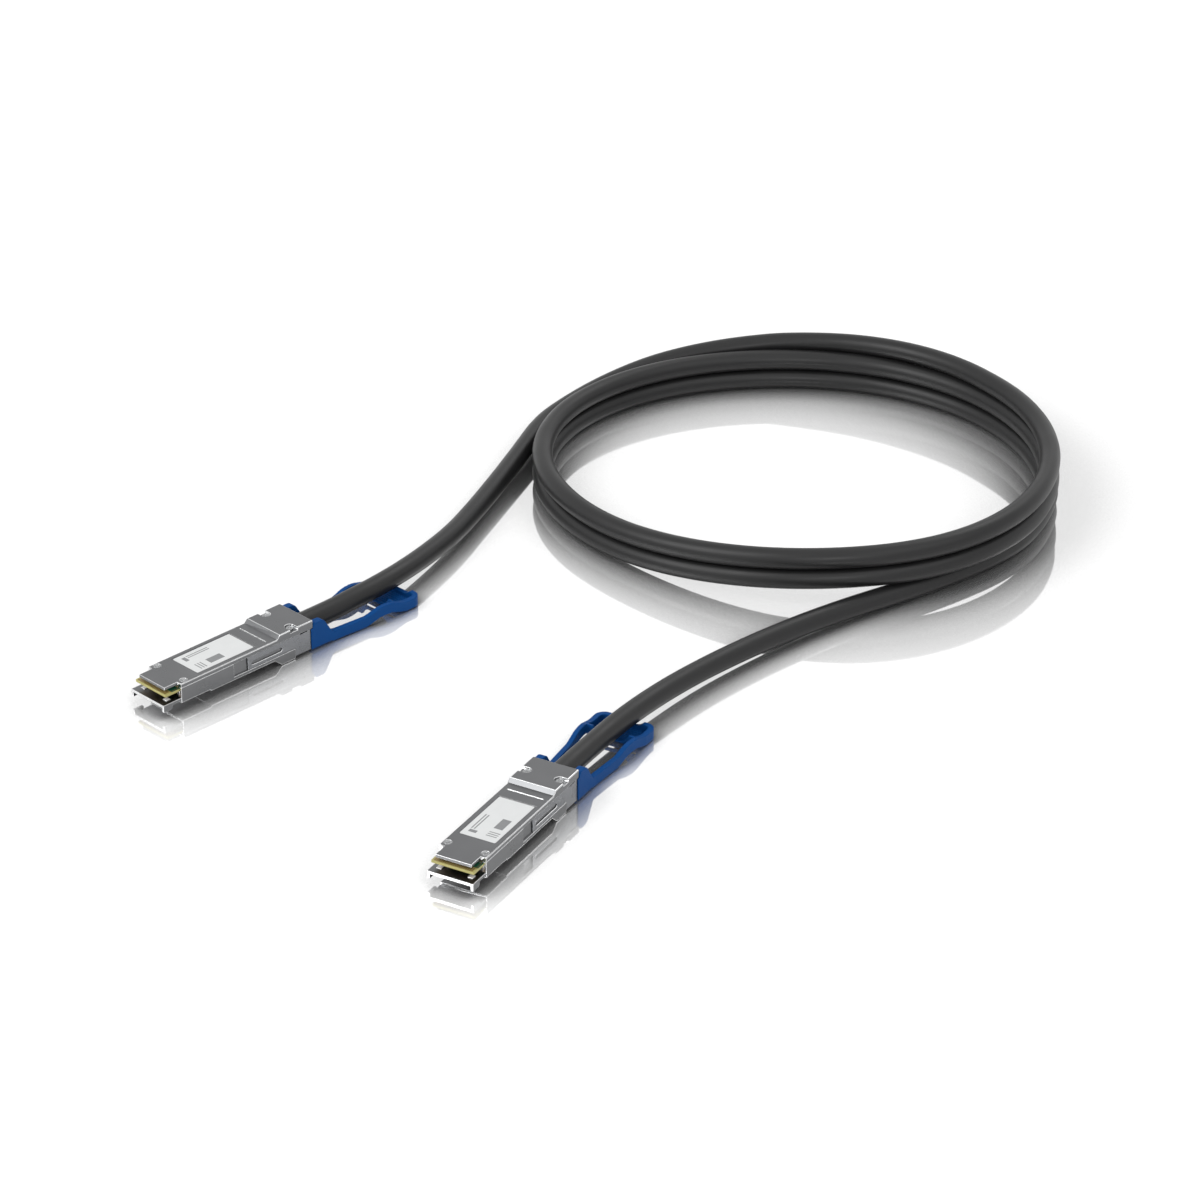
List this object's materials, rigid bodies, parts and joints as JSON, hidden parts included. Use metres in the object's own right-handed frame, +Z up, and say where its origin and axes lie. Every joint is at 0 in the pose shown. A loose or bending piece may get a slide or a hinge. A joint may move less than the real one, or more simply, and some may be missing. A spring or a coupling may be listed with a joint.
{
  "type": "direct attach copper cable",
  "caption": "Coiled black network cable with a flat metal plug at each end and a blue pull tab behind each plug.",
  "frame": {"origin": "middle of the underside of the rib that the first connector rests on", "axes": "+X the way the first connector goes into its port, +Y to its left, +Z up from the surface"},
  "size_m": [0.4043, 0.2394, 0.0249],
  "materials": {
    "cast_metal": "satin",
    "latch_steel": "satin",
    "screw_steel": "satin",
    "spring_steel": "polished",
    "ferrule_brass": "satin",
    "circuit_board": "satin",
    "chip_plastic": "matte",
    "pair_sleeve": "gloss",
    "label_film": "satin",
    "tab_plastic": "satin",
    "jacket": "satin"
  },
  "bodies": {
    "cable_and_shells": {"cable_lead_a": "jacket", "cable_coil": "jacket", "cable_lead_b": "jacket", "lower_shell_a": "cast_metal", "top_cover_a": "cast_metal", "paddle_card_a": "circuit_board", "memory_chip_a": "chip_plastic", "label_a": "label_film", "crimp_ferrule_a": "ferrule_brass", "front_screw_left_a": "screw_steel", "front_screw_right_a": "screw_steel", "rear_screw_left_a": "screw_steel", "rear_screw_right_a": "screw_steel", "return_spring_left_a": "spring_steel", "return_spring_right_a": "spring_steel", "twinax_pair_1_a": "pair_sleeve", "twinax_pair_2_a": "pair_sleeve", "twinax_pair_3_a": "pair_sleeve", "twinax_pair_4_a": "pair_sleeve", "twinax_pair_5_a": "pair_sleeve", "twinax_pair_6_a": "pair_sleeve", "twinax_pair_7_a": "pair_sleeve", "twinax_pair_8_a": "pair_sleeve", "lower_shell_b": "cast_metal", "top_cover_b": "cast_metal", "paddle_card_b": "circuit_board", "memory_chip_b": "chip_plastic", "label_b": "label_film", "crimp_ferrule_b": "ferrule_brass", "front_screw_left_b": "screw_steel", "front_screw_right_b": "screw_steel", "rear_screw_left_b": "screw_steel", "rear_screw_right_b": "screw_steel", "return_spring_left_b": "spring_steel", "return_spring_right_b": "spring_steel", "twinax_pair_1_b": "pair_sleeve", "twinax_pair_2_b": "pair_sleeve", "twinax_pair_3_b": "pair_sleeve", "twinax_pair_4_b": "pair_sleeve", "twinax_pair_5_b": "pair_sleeve", "twinax_pair_6_b": "pair_sleeve", "twinax_pair_7_b": "pair_sleeve", "twinax_pair_8_b": "pair_sleeve"},
    "tab_a": {"pull_tab_a": "tab_plastic", "latch_arm_left_a": "latch_steel", "latch_arm_right_a": "latch_steel"},
    "tab_b": {"pull_tab_b": "tab_plastic", "latch_arm_left_b": "latch_steel", "latch_arm_right_b": "latch_steel"}
  },
  "joints": [
    {"name": "pull_a", "type": "slide", "parent": "cable_and_shells", "child": "tab_a", "axis": [-1, 0, 0], "range_m": [0, 0.0035], "stiffness_N_per_m": 1200, "springref_m": -0.001, "deforming": ["return_spring_left_a", "return_spring_right_a"]},
    {"name": "pull_b", "type": "slide", "parent": "cable_and_shells", "child": "tab_b", "axis": [-0.963, -0.2696, 0], "range_m": [0, 0.0035], "stiffness_N_per_m": 1200, "springref_m": -0.001, "deforming": ["return_spring_left_b", "return_spring_right_b"]}
  ]
}
